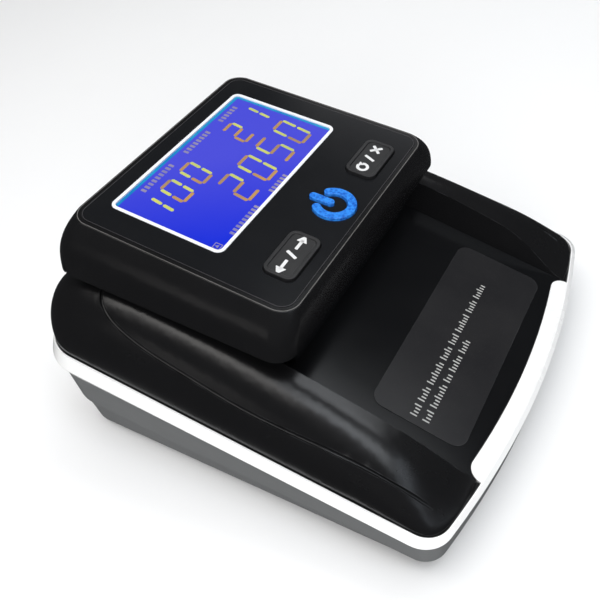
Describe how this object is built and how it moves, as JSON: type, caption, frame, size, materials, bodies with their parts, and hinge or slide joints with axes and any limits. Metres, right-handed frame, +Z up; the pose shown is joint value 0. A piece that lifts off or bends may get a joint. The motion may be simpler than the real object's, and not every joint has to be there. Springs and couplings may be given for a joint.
{
  "type": "banknote counting machine",
  "caption": "Compact banknote counter: sloping feed tray between two shoulders, tilted display head with keys over the note path, white trim band on a grey base.",
  "frame": {"origin": "middle of the footprint, on the surface that the feet stand on", "axes": "+X to the operator's right, +Y to the rear where the notes leave, +Z up"},
  "size_m": [0.134, 0.1464, 0.0787],
  "materials": {
    "case_grey": "fine moulded texture",
    "trim_white": "gloss",
    "shell_black": "satin gloss",
    "tray_black": "matt",
    "label_grey": "satin film",
    "face_black": "fine grained film",
    "lcd_white": "satin",
    "lcd_blue": "backlit",
    "light_box": "satin",
    "icon_blue": "translucent",
    "key_rubber": "matt",
    "roller_rubber": "matt",
    "belt_rubber": "matt",
    "foot_rubber": "matt",
    "smoked_window": "gloss",
    "circuit_green": "solder mask",
    "chip_black": "matt",
    "pulley_plastic": "satin",
    "frame_steel": "zinc plated",
    "shaft_steel": "ground",
    "motor_steel": "plated",
    "screw_steel": "blackened",
    "bush_brass": "turned"
  },
  "bodies": {
    "base": {"lower_case": "case_grey", "trim_band": "trim_white", "upper_case": "shell_black", "feed_tray": "tray_black", "tray_label": "label_grey", "sensor_window_lower": "smoked_window", "sensor_board_lower": "circuit_green", "side_frame_left": "frame_steel", "side_frame_right": "frame_steel", "frame_tie_rods": "shaft_steel", "shaft_bushes": "bush_brass", "drive_motor": "motor_steel", "main_board": "circuit_green", "board_standoffs": "bush_brass", "board_parts": "chip_black", "buzzer": "chip_black", "dc_jack": "chip_black", "encoder_sensor": "chip_black", "feet": "foot_rubber", "case_screws": "screw_steel", "carry_belt": "belt_rubber", "motor_belt": "belt_rubber"},
    "feed_drive": {"feed_shaft": "shaft_steel", "feed_rollers": "roller_rubber", "feed_pulley": "pulley_plastic", "encoder_disc": "pulley_plastic"},
    "carry_drive": {"carry_shaft": "shaft_steel", "carry_rollers": "roller_rubber", "carry_pulley": "pulley_plastic"},
    "motor_rotor": {"motor_shaft": "shaft_steel", "motor_pulley": "bush_brass"},
    "head": {"head_shell": "shell_black", "face_plate": "face_black", "lcd_bezel": "lcd_white", "lcd_panel": "lcd_blue", "lcd_backlight": "light_box", "display_board": "circuit_green", "tact_switches": "chip_black", "head_base": "tray_black", "hinge_pins": "shaft_steel", "magnetic_sensor": "frame_steel", "sensor_window_upper": "smoked_window", "pinch_springs": "shaft_steel", "head_screws": "screw_steel"},
    "mode_key": {"mode_button": "key_rubber"},
    "clear_key": {"clear_button": "key_rubber"},
    "power_key": {"power_button": "icon_blue"},
    "feed_pinch": {"feed_pinch_axle": "shaft_steel", "feed_pinch_rollers": "roller_rubber"},
    "carry_pinch": {"carry_pinch_axle": "shaft_steel", "carry_pinch_rollers": "roller_rubber"}
  },
  "joints": [
    {"name": "head_hinge", "type": "hinge", "parent": "base", "child": "head", "pos_m": [0, 0.0545, 0.0652], "axis": [-1, 0, 0], "range_deg": [0, 40]},
    {"name": "mode_press", "type": "slide", "parent": "head", "child": "mode_key", "axis": [0, 0.1908, -0.9816], "range_m": [0, 0.0008], "stiffness_N_per_m": 400},
    {"name": "clear_press", "type": "slide", "parent": "head", "child": "clear_key", "axis": [0, 0.1908, -0.9816], "range_m": [0, 0.0008], "stiffness_N_per_m": 400},
    {"name": "power_press", "type": "slide", "parent": "head", "child": "power_key", "axis": [0, 0.1908, -0.9816], "range_m": [0, 0.0008], "stiffness_N_per_m": 400},
    {"name": "feed_spin", "type": "hinge", "parent": "base", "child": "feed_drive", "pos_m": [0, 0.00136, 0.03161], "axis": [-1, 0, 0], "continuous": true},
    {"name": "carry_spin", "type": "hinge", "parent": "base", "child": "carry_drive", "pos_m": [0, 0.03755, 0.04318], "axis": [-1, 0, 0], "continuous": true},
    {"name": "motor_spin", "type": "hinge", "parent": "base", "child": "motor_rotor", "pos_m": [0, 0.024, 0.018], "axis": [-1, 0, 0], "continuous": true},
    {"name": "feed_pinch_spin", "type": "hinge", "parent": "head", "child": "feed_pinch", "pos_m": [0, -0.003, 0.04523], "axis": [-1, 0, 0], "continuous": true},
    {"name": "carry_pinch_spin", "type": "hinge", "parent": "head", "child": "carry_pinch", "pos_m": [0, 0.0332, 0.0568], "axis": [-1, 0, 0], "continuous": true}
  ],
  "couplings": [
    {"joint": "carry_spin", "follows": "feed_spin", "ratio": 1},
    {"joint": "motor_spin", "follows": "feed_spin", "ratio": 1.475},
    {"joint": "feed_pinch_spin", "follows": "feed_spin", "ratio": -1.8},
    {"joint": "carry_pinch_spin", "follows": "feed_spin", "ratio": -1.8}
  ]
}
